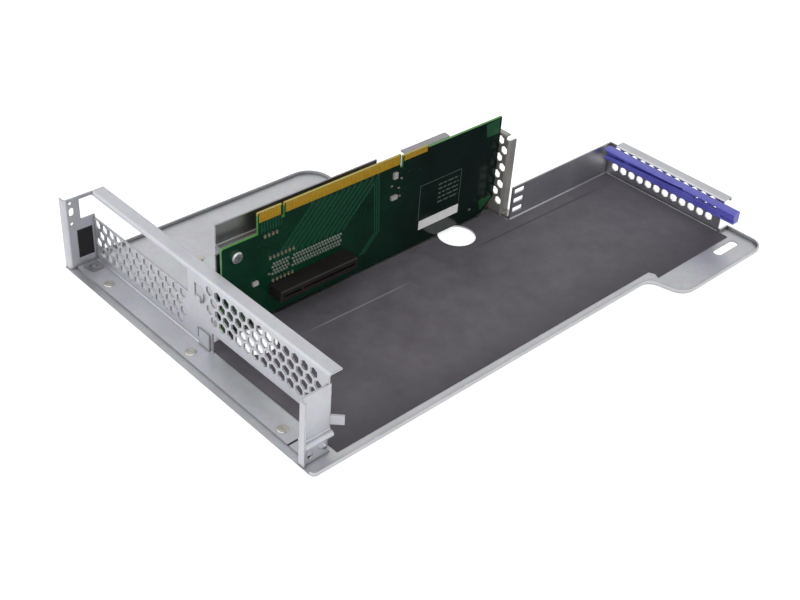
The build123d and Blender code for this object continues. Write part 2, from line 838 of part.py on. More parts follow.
with BuildPart() as chips:
    with BuildSketch(Plane.YZ.offset(board_face)):
        for spot, size in (
            (chip_mid, chip_mid_size),
            (chip_high, chip_high_size),
            (chip_low, chip_low_size),
        ):
            with Locations(spot):
                Rectangle(*size)
    extrude(amount=chip_h)
chips.part.label = "chips"
export_step(chips.part, "parts/chips.step")
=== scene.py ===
import json
import math
import random
import bmesh
import bpy
from mathutils import Matrix, Vector


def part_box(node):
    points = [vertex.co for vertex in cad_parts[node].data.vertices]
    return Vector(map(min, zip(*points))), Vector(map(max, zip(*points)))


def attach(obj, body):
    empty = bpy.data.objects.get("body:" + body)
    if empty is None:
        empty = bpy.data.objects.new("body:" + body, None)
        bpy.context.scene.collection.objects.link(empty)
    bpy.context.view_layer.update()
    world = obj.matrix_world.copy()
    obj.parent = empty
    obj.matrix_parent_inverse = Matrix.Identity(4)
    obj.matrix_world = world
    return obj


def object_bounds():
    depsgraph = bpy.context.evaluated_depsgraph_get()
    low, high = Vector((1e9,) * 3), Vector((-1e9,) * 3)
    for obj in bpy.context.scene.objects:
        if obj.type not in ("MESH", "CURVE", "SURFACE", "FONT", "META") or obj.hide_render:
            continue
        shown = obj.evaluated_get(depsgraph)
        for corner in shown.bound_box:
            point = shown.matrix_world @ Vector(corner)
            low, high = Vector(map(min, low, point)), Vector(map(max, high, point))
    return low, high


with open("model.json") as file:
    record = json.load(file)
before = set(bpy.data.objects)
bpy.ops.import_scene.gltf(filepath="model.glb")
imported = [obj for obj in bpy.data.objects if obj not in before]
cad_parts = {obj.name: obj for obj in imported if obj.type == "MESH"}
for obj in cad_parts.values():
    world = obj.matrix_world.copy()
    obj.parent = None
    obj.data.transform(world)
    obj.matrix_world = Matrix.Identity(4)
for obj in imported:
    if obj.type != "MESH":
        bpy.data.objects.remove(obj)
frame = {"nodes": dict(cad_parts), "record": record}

MM = 0.001
nodes = frame["nodes"]
cad_low, cad_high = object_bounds()
board_low, board_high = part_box("riser_board")
film_low, film_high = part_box("insulating_film")

# Camera, as the photograph was taken: metres, degrees and millimetres of lens
CAMERA_PLACE = Vector((0.4230, -0.4570, 0.4227))
CAMERA_AZIMUTH = 44.25
CAMERA_ELEVATION = 36.237
CAMERA_ROLL = 4.464
CAMERA_LENS = 55.70
SENSOR_WIDTH = 36.0

# Light and floor, in metres and watts
WORLD_FILL = 0.4
KEY_WATTS = 11.5
KEY_SIZE = 2.4
KEY_PLACE = Vector((-0.42, -0.85, 1.20))
SIDE_WATTS = 5.0
SIDE_SIZE = 1.4
SIDE_PLACE = Vector((1.10, -0.35, 0.75))
FLOOR_SIZE = 6.0
FLOOR_DROP = 0.0002
FLOOR_TONE = (0.9, 0.9, 0.9)
FLOOR_ROUGHNESS = 0.9
FLOOR_LIFT = 0.64
WHITE = (1.0, 1.0, 1.0)

# Dark and light tone of each finish
ZINC = ((0.45, 0.454, 0.474), (0.54, 0.545, 0.568))
# Painted light: a lighter copy of the zinc for the rear bracket
REAR_LIT_ZINC = ((0.505, 0.511, 0.545), (0.605, 0.612, 0.652))
# Painted shade: a darker copy of the zinc for the board bracket
SHIELD_SHADED_ZINC = ((0.26, 0.262, 0.265), (0.33, 0.332, 0.335))
END_STEEL = ((0.33, 0.315, 0.29), (0.42, 0.405, 0.38))
PLATING = ((0.40, 0.42, 0.43), (0.49, 0.51, 0.52))
RIVET = ((0.45, 0.435, 0.395), (0.54, 0.522, 0.475))
FILM = ((0.112, 0.103, 0.119), (0.176, 0.163, 0.185))
MASK_NEAR = ((0.0016, 0.030, 0.014), (0.004, 0.054, 0.026))
# Painted shade: darker mask for the board's far end
MASK_FAR_SHADED = ((0.0005, 0.008, 0.0055), (0.0012, 0.014, 0.0095))
BOARD_RIM = ((0.07, 0.26, 0.05), (0.13, 0.40, 0.10))
BOARD_TIP = ((0.42, 0.34, 0.06), (0.62, 0.52, 0.16))
TRACE_GREEN = ((0.004, 0.068, 0.033), (0.009, 0.100, 0.050))
ZONE_GREEN = ((0.004, 0.070, 0.022), (0.008, 0.100, 0.034))
INK = ((0.075, 0.115, 0.095), (0.120, 0.165, 0.140))
GOLD = ((0.80, 0.44, 0.02), (0.92, 0.58, 0.06))
# Dull solder grey with a painted reflection of the green mask
TIN_MASK_REFLECTION = ((0.14, 0.18, 0.15), (0.24, 0.28, 0.24))
BUFF = ((0.24, 0.19, 0.10), (0.38, 0.31, 0.19))
SLOT_BLACK = ((0.008, 0.006, 0.006), (0.016, 0.012, 0.012))
GUIDE_BLUE = ((0.095, 0.095, 0.52), (0.15, 0.15, 0.66))
CHIP_GREY = ((0.40, 0.40, 0.38), (0.55, 0.55, 0.52))
LABEL_BLACK = ((0.004, 0.004, 0.005), (0.009, 0.009, 0.010))
LABEL_WHITE = ((0.90, 0.90, 0.89), (0.97, 0.97, 0.96))

# Colour of worn, cut, soiled and marked places, and of painted shade in the sheet's inside corners and at
# the film's free edge
CUT_EDGE = (0.16, 0.155, 0.145)
RUBBED_EDGE = (0.78, 0.78, 0.80)
# Painted shade for the inside corners of the sheet
CORNER_PAINTED_SHADE = (0.10, 0.098, 0.095)
FASTENER_RIM = (0.30, 0.29, 0.27)
FASTENER_WORN = (0.85, 0.84, 0.82)
FILM_SCUFF = (0.30, 0.29, 0.31)
# Painted shade at the film's free edge
FREE_EDGE_PAINTED_SHADE = (0.055, 0.050, 0.060)
FILM_PALE_SCORE = (0.42, 0.41, 0.42)
FILM_DARK_SCORE = (0.03, 0.03, 0.033)
FILM_EDGE = (0.25, 0.25, 0.26)
GOLD_WIPED = (0.95, 0.75, 0.30)
GOLD_GAP = (0.34, 0.21, 0.02)
SLOT_EDGE = (0.05, 0.044, 0.042)
GUIDE_EDGE = (0.40, 0.42, 0.95)
CHIP_EDGE = (0.70, 0.70, 0.68)
LABEL_SOIL = (0.35, 0.34, 0.32)

# Reach of the painted shade in the sheet's inside corners, in millimetres
CORNER_SHADE_REACH = 2.5

# Score lines and the reach of the painted shade at the film's free edge, from its low corner, in
# millimetres; a line fades past its full share
SCORE_PALE = ((24.2, 48.0), (25.3, 130.0))
SCORE_DARK = ((23.4, 174.0), (25.2, 314.0))
SCORE_WIDTH = 0.8
SCORE_FULL = 0.6
FREE_EDGE_SHADE_REACH = 34.0

# Where painted shade darkens the board's mask along the board, and its bare tip, in millimetres
MASK_SHADE_FADE = (60.0, 150.0)
TIP_HIGH = 2.0

# A face of the board is masked where its normal runs along X by more than this
MASK_FACING = 0.9

# Gold fingers: pitch in millimetres, and the share of it that is gap
FINGER_PITCH = 1.0
FINGER_GAP = 0.2

# Print on the board's near face, along the board and above its foot, in millimetres
COPPER_LIFT = 0.04
TRACE_WIDTH = 0.75
PAIR_GAP = 1.5
FAN_FIRST = (36.0, 34.0)
FAN_PITCH = 4.4
FAN_COUNT = 12
FAN_RISE = 1.6
FAN_TOP = 62.0
RUN_FIRST = 107.2
RUN_PITCH = 1.7
RUN_COUNT = 3
RUN_HEIGHTS = (59.0, 22.8, 10.6)
RUN_LEAN = (0.0, 2.3, -9.1)
STUB_FIRST = 26.5
STUB_PITCH = 1.9
STUB_COUNT = 8
STUB_SPAN = (55.4, 62.0)
SILK_WIDTH = 0.4
SILK_BOX = (145.4, 180.2, 17.0, 40.8)
PRINT_SPAN = (161.0, 178.4)
PRINT_FIRST = 36.4
PRINT_PITCH = 3.1
PRINT_ROWS = 5
PRINT_GAP = 1.1
PRINT_WIDTH = 1.0
PRINT_LENGTHS = (2.0, 6.0)
ZONE_UPPER = ((198.8, 64.8), (211.0, 65.6), (211.2, 54.8), (200.4, 55.6))
ZONE_LOWER = ((199.0, 10.6), (210.6, 11.2), (209.6, 8.0), (201.2, 2.8))
VIA_RADIUS = 0.32
VIA_RIM = 0.06
VIA_FLOOR = 0.02
VIA_COUNT = 70
VIA_FIELD = (24.0, 150.0, 38.0, 60.0)
VIA_SIDES = 10
SEED = 7

# Solder fillets, in millimetres; their waist is the sum of both radii over the pinch
FILLET_FOOT = 0.92
FILLET_TOP = 0.42
FILLET_HIGH = 0.75
FILLET_PINCH = 2.3
FILLET_SIDES = 10

# End caps of the capacitors, and chip resistors along the board and above its foot, in millimetres
CAP_END = 0.5
CAP_SKIN = 0.04
CHIP_PLACES = ((128.2, 53.0), (120.8, 50.0), (126.4, 47.0), (127.6, 41.2), (190.8, 7.4), (31.0, 27.0))
CHIP_SIZE = (1.7, 0.9, 0.6)
CHIP_END = 0.35

# Spring contacts in the slots: gap from the middle, depth, and stations as shares of it, in millimetres
CONTACT_GAP = 0.9
CONTACT_DEEP = 7.0
CONTACT_SHARES = (1.0, 0.8, 0.6, 0.42, 0.3)
CONTACT_INSET = 2.6
CONTACT_PITCH = 1.0
CONTACT_WIDTH = 0.5
CONTACT_SKIN = 0.12
CONTACT_BELLY = 0.45

# Set mark on a rivet head, in millimetres
RING_OUTER = 1.7
RING_INNER = 1.2
RING_HIGH = 0.1
RING_SINK = 0.05
RING_CAP = 0.03
RING_SIDES = 20

# Points of a CAD mesh closer than this are one, in millimetres
WELD = 0.001


# Node helpers

def put(tree, value, socket):
    """Links a node's output to a socket, or sets a plain number, vector or colour on it."""
    if isinstance(value, bpy.types.NodeSocket):
        tree.links.new(value, socket)
    else:
        socket.default_value = (*value, 1.0) if socket.type == "RGBA" else value


def add_node(tree, kind, settings=None, **inputs):
    """Adds a shader node, sets its options, and fills or links its inputs."""
    made = tree.nodes.new(kind)
    for key, value in (settings or {}).items():
        setattr(made, key, value)
    for key, value in inputs.items():
        put(tree, value, made.inputs[key.replace("_", " ")])
    return made


def math_node(tree, operation, first, second=0.0):
    """Arithmetic on two values or sockets."""
    made = add_node(tree, "ShaderNodeMath", {"operation": operation})
    put(tree, first, made.inputs[0])
    put(tree, second, made.inputs[1])
    return made.outputs[0]


def scaled(tree, value, share):
    """A value times a share."""
    return math_node(tree, "MULTIPLY", value, share)


def blended(tree, first, second, share):
    """Two values added, with a share of the first and the rest of the second."""
    return math_node(tree, "ADD", scaled(tree, first, share), scaled(tree, second, 1.0 - share))


def dot(tree, first, second):
    """Dot product of two vectors or sockets."""
    made = add_node(tree, "ShaderNodeVectorMath", {"operation": "DOT_PRODUCT"})
    put(tree, first, made.inputs[0])
    put(tree, second, made.inputs[1])
    return made.outputs["Value"]


def object_place(tree):
    """Coordinates in the shared frame, in metres."""
    return add_node(tree, "ShaderNodeTexCoord").outputs["Object"]


def split(tree, vector):
    """Outputs X, Y and Z of a vector."""
    return add_node(tree, "ShaderNodeSeparateXYZ", Vector=vector).outputs


def noise(tree, scale, detail=3.0, roughness=0.55, place=None):
    """Noise over the object's own coordinates, as a value from 0 to 1."""
    made = add_node(tree, "ShaderNodeTexNoise", Vector=place or object_place(tree), Scale=scale,
                    Detail=detail, Roughness=roughness)
    return made.outputs["Fac"]


def two_tone(tree, value, tones, start=0.3, stop=0.7):
    """Colour that goes from a dark to a light tone as a value goes from start to stop."""
    made = add_node(tree, "ShaderNodeValToRGB", Fac=value)
    for point, position, colour in zip(made.color_ramp.elements, (start, stop), tones):
        point.position = position
        point.color = (*colour, 1.0)
    return made.outputs["Color"]


def span(tree, value, low, high, start=0.0, end=1.0):
    """Maps a value from start and end onto low and high."""
    made = add_node(tree, "ShaderNodeMapRange", Value=value, From_Min=start, From_Max=end,
                    To_Min=low, To_Max=high)
    return made.outputs["Result"]


def mix(tree, share, first, second):
    """Blends two colours, with a share of the second."""
    made = add_node(tree, "ShaderNodeMix", {"data_type": "RGBA"})
    colours = [socket for socket in made.inputs if socket.type == "RGBA"]
    put(tree, share, made.inputs[0])
    put(tree, first, colours[0])
    put(tree, second, colours[1])
    return next(socket for socket in made.outputs if socket.type == "RGBA")


def edge_mask(tree, reach):
    """One within a reach of an edge, in millimetres, and zero on flat faces."""
    rounded = add_node(tree, "ShaderNodeBevel", {"samples": 6}, Radius=reach * MM).outputs["Normal"]
    true = add_node(tree, "ShaderNodeNewGeometry").outputs["Normal"]
    return span(tree, dot(tree, rounded, true), 0.0, 1.0, start=0.99, end=0.8)


def corner_shade_mask(tree, reach):
    """One deep in inside corners and zero a reach away from them, in millimetres; it places painted shade
    from ambient occlusion.
    """
    sky = add_node(tree, "ShaderNodeAmbientOcclusion", {"samples": 6}, Distance=reach * MM).outputs["AO"]
    return span(tree, sky, 1.0, 0.0, start=0.3, end=0.9)


def away_from(tree, axis, middle):
    """Distance from a place along a level axis."""
    along = dot(tree, object_place(tree), (axis.x, axis.y, 0.0))
    return math_node(tree, "ABSOLUTE", math_node(tree, "SUBTRACT", along, middle))


def crease(tree, line):
    """One along a straight line across the film, fading to zero at its sides and ends."""
    corner = Vector((film_low.x, film_low.y))
    start, end = (corner + Vector(point) * MM for point in line)
    along = (end - start).normalized()
    across = Vector((-along.y, along.x))
    reach = (end - start).length / 2
    aside = away_from(tree, across, start.dot(across))
    away = away_from(tree, along, (start + end).dot(along) / 2)
    body = span(tree, aside, 1.0, 0.0, start=0.0, end=SCORE_WIDTH * MM)
    ends = span(tree, away, 1.0, 0.0, start=reach * SCORE_FULL, end=reach)
    return math_node(tree, "MULTIPLY", body, ends)


def bump(tree, height, strength, depth, rounding=0.0):
    """Bump normal, with its depth and the rounding of the edges under it in millimetres."""
    made = add_node(tree, "ShaderNodeBump", Height=height, Strength=strength, Distance=depth * MM)
    if rounding:
        rounded = add_node(tree, "ShaderNodeBevel", {"samples": 4}, Radius=rounding * MM)
        put(tree, rounded.outputs["Normal"], made.inputs["Normal"])
    return made.outputs["Normal"]


def new_material(name, **inputs):
    """Principled material with plain values on its own sockets."""
    material = bpy.data.materials.new(name)
    material.use_nodes = True
    tree = material.node_tree
    shader = tree.nodes["Principled BSDF"]
    for key, value in inputs.items():
        put(tree, value, shader.inputs[key.replace("_", " ")])
    return material, tree, shader


def dress(tree, shader, colour, roughness, normal):
    """Links the three inputs that vary over a surface."""
    put(tree, colour, shader.inputs["Base Color"])
    put(tree, roughness, shader.inputs["Roughness"])
    put(tree, normal, shader.inputs["Normal"])


# Materials

def sheet_steel(name, tones, metal=1.0):
    """Zinc-coated steel: fine grain, faint spangle, dull cut edges, rubbed spots, and painted shade in
    inside corners.
    """
    material, tree, shader = new_material(name, Metallic=metal)
    grain = noise(tree, scale=2600.0, detail=2.0)
    cloud = noise(tree, scale=38.0, detail=4.0)
    fleck = add_node(tree, "ShaderNodeTexVoronoi", Vector=object_place(tree), Scale=420.0).outputs["Color"]
    base = two_tone(tree, blended(tree, cloud, grain, share=0.7), tones)
    spangled = mix(tree, share=0.04, first=base, second=fleck)
    edge = edge_mask(tree, reach=0.5)
    cut = mix(tree, scaled(tree, edge, share=0.85), spangled, CUT_EDGE)
    spots = span(tree, noise(tree, scale=160.0), 0.0, 0.8, start=0.58, end=0.7)
    rubbed = mix(tree, math_node(tree, "MULTIPLY", edge, spots), cut, RUBBED_EDGE)
    # Painted shade: inside corners are darkened from ambient occlusion
    corner_shade = scaled(tree, corner_shade_mask(tree, CORNER_SHADE_REACH), share=0.75)
    dress(tree, shader, colour=mix(tree, corner_shade, rubbed, CORNER_PAINTED_SHADE),
          roughness=span(tree, cloud, 0.36, 0.48),
          normal=bump(tree, grain, strength=0.12, depth=0.02, rounding=0.15))
    return material


def plated_steel(name, tones):
    """Plated fasteners with fine grain, a dull rim and worn spots on it."""
    material, tree, shader = new_material(name, Metallic=1.0)
    grain = noise(tree, scale=1800.0)
    base = two_tone(tree, noise(tree, scale=300.0), tones, stop=0.75)
    edge = edge_mask(tree, reach=0.25)
    rimmed = mix(tree, scaled(tree, edge, share=0.5), base, FASTENER_RIM)
    worn = math_node(tree, "MULTIPLY", edge, span(tree, grain, 0.0, 0.7, start=0.5, end=0.65))
    dress(tree, shader, colour=mix(tree, worn, rimmed, FASTENER_WORN),
          roughness=span(tree, grain, 0.22, 0.42),
          normal=bump(tree, grain, strength=0.15, depth=0.03, rounding=0.15))
    return material


def film_sheet():
    """Charcoal film: soft sheen, mottled, scuffed, with painted shade at its free edge, and scored along its
    length.
    """
    material, tree, shader = new_material("film_sheet", Specular_IOR_Level=0.2)
    cloud = noise(tree, scale=16.0, detail=4.0, roughness=0.6)
    mottle = noise(tree, scale=70.0, detail=6.0, roughness=0.68)
    base = two_tone(tree, blended(tree, cloud, mottle, share=0.5), FILM, start=0.34, stop=0.66)
    stretch = add_node(tree, "ShaderNodeMapping", Vector=object_place(tree), Scale=(420.0, 14.0, 1.0),
                       Rotation=(0.0, 0.0, 0.28)).outputs["Vector"]
    scratch = noise(tree, scale=1.0, detail=2.0, place=stretch)
    scuffed = mix(tree, span(tree, scratch, 0.0, 0.14, start=0.69, end=0.76), base, FILM_SCUFF)
    across = split(tree, object_place(tree))["X"]
    # Painted shade: the film darkens towards its free edge along X
    free = span(tree, across, 0.0, 0.7, start=film_high.x - FREE_EDGE_SHADE_REACH * MM, end=film_high.x)
    free_edge_shaded = mix(tree, free, scuffed, FREE_EDGE_PAINTED_SHADE)
    pale = crease(tree, SCORE_PALE)
    dark = crease(tree, SCORE_DARK)
    creased = mix(tree, scaled(tree, pale, share=0.6), free_edge_shaded, FILM_PALE_SCORE)
    folded = mix(tree, scaled(tree, dark, share=0.75), creased, FILM_DARK_SCORE)
    edge = scaled(tree, edge_mask(tree, reach=0.4), share=0.3)
    fine = scaled(tree, noise(tree, scale=900.0), share=0.04)
    waves = math_node(tree, "ADD", noise(tree, scale=26.0, detail=2.0), fine)
    height = math_node(tree, "ADD", waves, scaled(tree, pale, share=0.3))
    dress(tree, shader, colour=mix(tree, edge, folded, FILM_EDGE),
          roughness=span(tree, cloud, 0.42, 0.58),
          normal=bump(tree, height, strength=0.3, depth=0.5))
    return material


def laminate():
    """Glossy green mask, darkened towards the far end by painted shade, bright at the cut edges and bare at
    the tongue.
    """
    material, tree, shader = new_material("laminate", Specular_IOR_Level=0.26)
    cloud = noise(tree, scale=45.0)
    weave = noise(tree, scale=1400.0, detail=2.0)
    place = split(tree, object_place(tree))
    # Painted shade: the mask goes darker towards the far end
    fade_start, fade_end = (board_low.y + along * MM for along in MASK_SHADE_FADE)
    far = span(tree, place["Y"], 0.0, 1.0, start=fade_start, end=fade_end)
    face = mix(tree, far, two_tone(tree, cloud, MASK_NEAR), two_tone(tree, cloud, MASK_FAR_SHADED))
    tip = math_node(tree, "GREATER_THAN", place["Z"], board_high.z - TIP_HIGH * MM)
    edge = mix(tree, tip, two_tone(tree, weave, BOARD_RIM), two_tone(tree, weave, BOARD_TIP))
    normal = add_node(tree, "ShaderNodeNewGeometry").outputs["Normal"]
    facing = math_node(tree, "ABSOLUTE", split(tree, normal)["X"])
    flat = math_node(tree, "GREATER_THAN", facing, MASK_FACING)
    dress(tree, shader, colour=mix(tree, flat, edge, face),
          roughness=span(tree, cloud, 0.10, 0.20),
          normal=bump(tree, weave, strength=0.08, depth=0.02))
    return material


def printed(name, tones):
    """Thin print on the board: copper under the mask, a lighter green than the laminate, or pale ink."""
    material, tree, shader = new_material(name, Specular_IOR_Level=0.5)
    grain = noise(tree, scale=700.0)
    dress(tree, shader, colour=two_tone(tree, grain, tones),
          roughness=span(tree, grain, 0.18, 0.3),
          normal=bump(tree, grain, strength=0.1, depth=0.02))
    return material


def gold_contacts():
    """Gold fingers in a row, with a dark gap between them and wiped edges."""
    material, tree, shader = new_material("gold_contacts")
    along = split(tree, object_place(tree))["Y"]
    phase = math_node(tree, "FRACT", math_node(tree, "DIVIDE", along, FINGER_PITCH * MM))
    finger = math_node(tree, "GREATER_THAN", phase, FINGER_GAP)
    wiped = scaled(tree, edge_mask(tree, reach=0.3), share=0.5)
    bright = mix(tree, wiped, two_tone(tree, noise(tree, scale=500.0), GOLD), GOLD_WIPED)
    put(tree, span(tree, finger, 0.3, 0.95), shader.inputs["Metallic"])
    dress(tree, shader, colour=mix(tree, finger, GOLD_GAP, bright),
          roughness=span(tree, noise(tree, scale=900.0), 0.24, 0.38),
          normal=bump(tree, finger, strength=0.5, depth=0.05))
    return material


def moulded(name, tones, worn, rough, shine):
    """Moulded plastic with a fine texture, slow colour change and rubbed edges."""
    material, tree, shader = new_material(name, Specular_IOR_Level=shine)
    edge = scaled(tree, edge_mask(tree, reach=0.4), share=0.55)
    dress(tree, shader, colour=mix(tree, edge, two_tone(tree, noise(tree, scale=70.0), tones), worn),
          roughness=span(tree, noise(tree, scale=120.0), rough - 0.06, rough + 0.1),
          normal=bump(tree, noise(tree, scale=2200.0), strength=0.2, depth=0.04, rounding=0.3))
    return material


def tinned():
    """Solder and tinned leads: dull grey with a green cast painted in as reflection of the mask, and a
    little uneven.
    """
    material, tree, shader = new_material("tinned", Metallic=0.6)
    fine = noise(tree, scale=1500.0)
    dress(tree, shader, colour=two_tone(tree, fine, TIN_MASK_REFLECTION),
          roughness=span(tree, fine, 0.38, 0.55),
          normal=bump(tree, fine, strength=0.3, depth=0.1, rounding=0.12))
    return material


def paper(name, tones, rough):
    """Label stock with faint fibres and slightly soiled edges."""
    material, tree, shader = new_material(name, Specular_IOR_Level=0.4)
    fibre = noise(tree, scale=1100.0, detail=4.0, roughness=0.7)
    edge = scaled(tree, edge_mask(tree, reach=0.4), share=0.25)
    dress(tree, shader, colour=mix(tree, edge, two_tone(tree, noise(tree, scale=180.0), tones), LABEL_SOIL),
          roughness=span(tree, fibre, rough - 0.08, rough + 0.08),
          normal=bump(tree, fibre, strength=0.15, depth=0.03))
    return material


def ceramic():
    """Buff bodies of the chip capacitors and resistors."""
    material, tree, shader = new_material("ceramic", Specular_IOR_Level=0.5)
    fine = noise(tree, scale=1600.0)
    dress(tree, shader, colour=two_tone(tree, fine, BUFF),
          roughness=span(tree, fine, 0.3, 0.45),
          normal=bump(tree, fine, strength=0.2, depth=0.05, rounding=0.15))
    return material


# Finish of each material slot, of single pieces, and of the print

finishes = {
    "galvanised": sheet_steel("sheet_steel", ZINC),
    "plated": plated_steel("plated_steel", PLATING),
    "film": film_sheet(),
    "laminate": laminate(),
    "gold": gold_contacts(),
    "slot_plastic": moulded("slot_moulding", SLOT_BLACK, SLOT_EDGE, rough=0.4, shine=0.32),
    "solder": tinned(),
    "guide_plastic": moulded("guide_moulding", GUIDE_BLUE, GUIDE_EDGE, rough=0.32, shine=0.6),
    "black_label": paper("black_paper", LABEL_BLACK, rough=0.45),
    "white_label": paper("white_paper", LABEL_WHITE, rough=0.55),
    "chip_ceramic": ceramic(),
    "chip_body": moulded("chip_moulding", CHIP_GREY, CHIP_EDGE, rough=0.5, shine=0.5),
}
rivet_steel = plated_steel("rivet_steel", RIVET)
own_finishes = {
    # Lit copy of the zinc: painted light
    "rear_bracket": sheet_steel("rear_steel_lit", REAR_LIT_ZINC, metal=0.65),
    # Shaded copy of the zinc: painted shade
    "board_bracket": sheet_steel("shield_steel_shaded", SHIELD_SHADED_ZINC),
    "end_bracket": sheet_steel("end_steel", END_STEEL, metal=0.5),
    "clinch_nut": finishes["galvanised"],
    "foot_rivets": rivet_steel,
    "web_rivets": rivet_steel,
    "end_rivet": rivet_steel,
    "wing_rivet": rivet_steel,
}
trace_green = printed("trace_green", TRACE_GREEN)
zone_green = printed("zone_green", ZONE_GREEN)
silk_ink = printed("silk_ink", INK)

for part in frame["record"]["subparts"]:
    piece = nodes[part["node"]]
    piece.data.materials.clear()
    piece.data.materials.append(own_finishes.get(part["node"], finishes[part["material_slot"]]))


# Mesh helpers

def finish_piece(name, mesh, material):
    """Turns a mesh under construction into a piece that belongs to the part."""
    bmesh.ops.recalc_face_normals(mesh, faces=mesh.faces)
    data = bpy.data.meshes.new(name)
    mesh.to_mesh(data)
    mesh.free()
    data.materials.append(material)
    piece = bpy.data.objects.new(name, data)
    bpy.context.scene.collection.objects.link(piece)
    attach(piece, "root")


def prism(mesh, rings):
    """Skins a row of equal point rings and closes both ends."""
    loops = [[mesh.verts.new(point) for point in ring] for ring in rings]
    for first, second in zip(loops, loops[1:]):
        for i in range(len(first)):
            j = (i + 1) % len(first)
            mesh.faces.new((first[i], first[j], second[j], second[i]))
    mesh.faces.new(loops[0])
    mesh.faces.new(loops[-1])


def on_board(along, above, off=0.0):
    """Point on the board's near face from millimetres along it, above its foot and off its face."""
    return Vector((board_high.x + off * MM, board_low.y + along * MM, board_low.z + above * MM))


def ribbon(mesh, route, width):
    """Raised copper or ink strip along a route of (along, above) points on the board's near face."""
    points = [Vector(point) for point in route]
    rings = []
    for i, here in enumerate(points):
        before = (here - points[i - 1]).normalized() if i else (points[1] - here).normalized()
        after = (points[i + 1] - here).normalized() if i + 1 < len(points) else before
        across = (before + after).normalized().orthogonal() * width / 2
        left, right = here + across, here - across
        rings.append([on_board(*left), on_board(*right),
                      on_board(*right, COPPER_LIFT), on_board(*left, COPPER_LIFT)])
    prism(mesh, rings)


def circle(centre, radius, axis, sides):
    """Ring of points round an axis, 'X' or 'Z', with its radius in millimetres."""
    ring = []
    for i in range(sides):
        turn = math.tau * i / sides
        u, v = radius * math.cos(turn) * MM, radius * math.sin(turn) * MM
        ring.append(centre + (Vector((0.0, u, v)) if axis == "X" else Vector((u, v, 0.0))))
    return ring


def turned(mesh, centre, profile, axis, sides):
    """Round solid about an axis through a centre, from (radius, offset) pairs in millimetres."""
    unit = Vector((MM, 0.0, 0.0)) if axis == "X" else Vector((0.0, 0.0, MM))
    prism(mesh, [circle(centre + off * unit, radius, axis, sides) for radius, off in profile])


def block(mesh, centre, size, inset):
    """Small block on the board's near face, with its top edges drawn in."""
    along, above = centre
    long, wide, high = size
    rings = []
    for off, shrink in ((0.0, 0.0), (high - inset, 0.0), (high, inset)):
        half = (long / 2 - shrink, wide / 2 - shrink)
        rings.append([on_board(along + u * half[0], above + v * half[1], off)
                      for u, v in ((-1, -1), (1, -1), (1, 1), (-1, 1))])
    prism(mesh, rings)


def islands(name):
    """Low and high corners of each separate solid in a CAD node."""
    mesh = bmesh.new()
    mesh.from_mesh(nodes[name].data)
    bmesh.ops.remove_doubles(mesh, verts=mesh.verts, dist=WELD * MM)
    boxes, seen = [], set()
    for start in mesh.verts:
        if start in seen:
            continue
        group, queue = [], [start]
        seen.add(start)
        while queue:
            vert = queue.pop()
            group.append(vert.co.copy())
            for edge in vert.link_edges:
                other = edge.other_vert(vert)
                if other not in seen:
                    seen.add(other)
                    queue.append(other)
        low = Vector([min(point[i] for point in group) for i in range(3)])
        high = Vector([max(point[i] for point in group) for i in range(3)])
        boxes.append((low, high))
    mesh.free()
    return boxes


# Printed detail on the near face of the board

def make_traces():
    """Slanted fan from the slot's pins to the gold edge, a long run beside it and short stubs."""
    mesh = bmesh.new()
    foot, top = FAN_FIRST[1], FAN_TOP
    low, high = foot + FAN_RISE, top - FAN_RISE
    climb = high - low
    for k in range(2 * FAN_COUNT):
        start = FAN_FIRST[0] + (k // 2) * FAN_PITCH + (k % 2) * PAIR_GAP
        route = ((start, foot), (start, low), (start + climb, low + climb), (start + climb, top))
        ribbon(mesh, route, TRACE_WIDTH)
    for k in range(RUN_COUNT):
        first = RUN_FIRST + k * RUN_PITCH
        ribbon(mesh, [(first + lean, above) for lean, above in zip(RUN_LEAN, RUN_HEIGHTS)], TRACE_WIDTH)
    for k in range(STUB_COUNT):
        place = STUB_FIRST + k * STUB_PITCH
        ribbon(mesh, [(place, above) for above in STUB_SPAN], TRACE_WIDTH)
    finish_piece("board_traces", mesh, trace_green)


def make_zones():
    """Copper areas under the mask in the two far corners."""
    mesh = bmesh.new()
    for zone in (ZONE_UPPER, ZONE_LOWER):
        prism(mesh, [[on_board(*point, off) for point in zone] for off in (0.0, COPPER_LIFT)])
    finish_piece("board_zones", mesh, zone_green)


def make_silkscreen():
    """Printed frame above the white label, with rows of plain bars inside it."""
    mesh = bmesh.new()
    near, far, low, high = SILK_BOX
    for route in (((near, low), (near, high)), ((near, high), (far, high)), ((far, high), (far, low))):
        ribbon(mesh, route, SILK_WIDTH)
    chance = random.Random(SEED)
    for row in range(PRINT_ROWS):
        above = PRINT_FIRST - row * PRINT_PITCH
        start = PRINT_SPAN[0]
        while start < PRINT_SPAN[1]:
            stop = min(start + chance.uniform(*PRINT_LENGTHS), PRINT_SPAN[1])
            ribbon(mesh, ((start, above), (stop, above)), PRINT_WIDTH)
            start = stop + PRINT_GAP
    finish_piece("silkscreen_frame", mesh, silk_ink)


def make_vias():
    """Small vias under the mask, scattered over the printed field as low dished rings."""
    mesh = bmesh.new()
    chance = random.Random(SEED)
    near, far, low, high = VIA_FIELD
    bore = VIA_RADIUS / 2
    profile = ((VIA_RADIUS, 0.0), (VIA_RADIUS, VIA_RIM), (bore, VIA_RIM), (bore, VIA_FLOOR))
    for _ in range(VIA_COUNT):
        centre = on_board(chance.uniform(near, far), chance.uniform(low, high))
        turned(mesh, centre, profile, "X", VIA_SIDES)
    finish_piece("board_vias", mesh, zone_green)


# Soldered detail

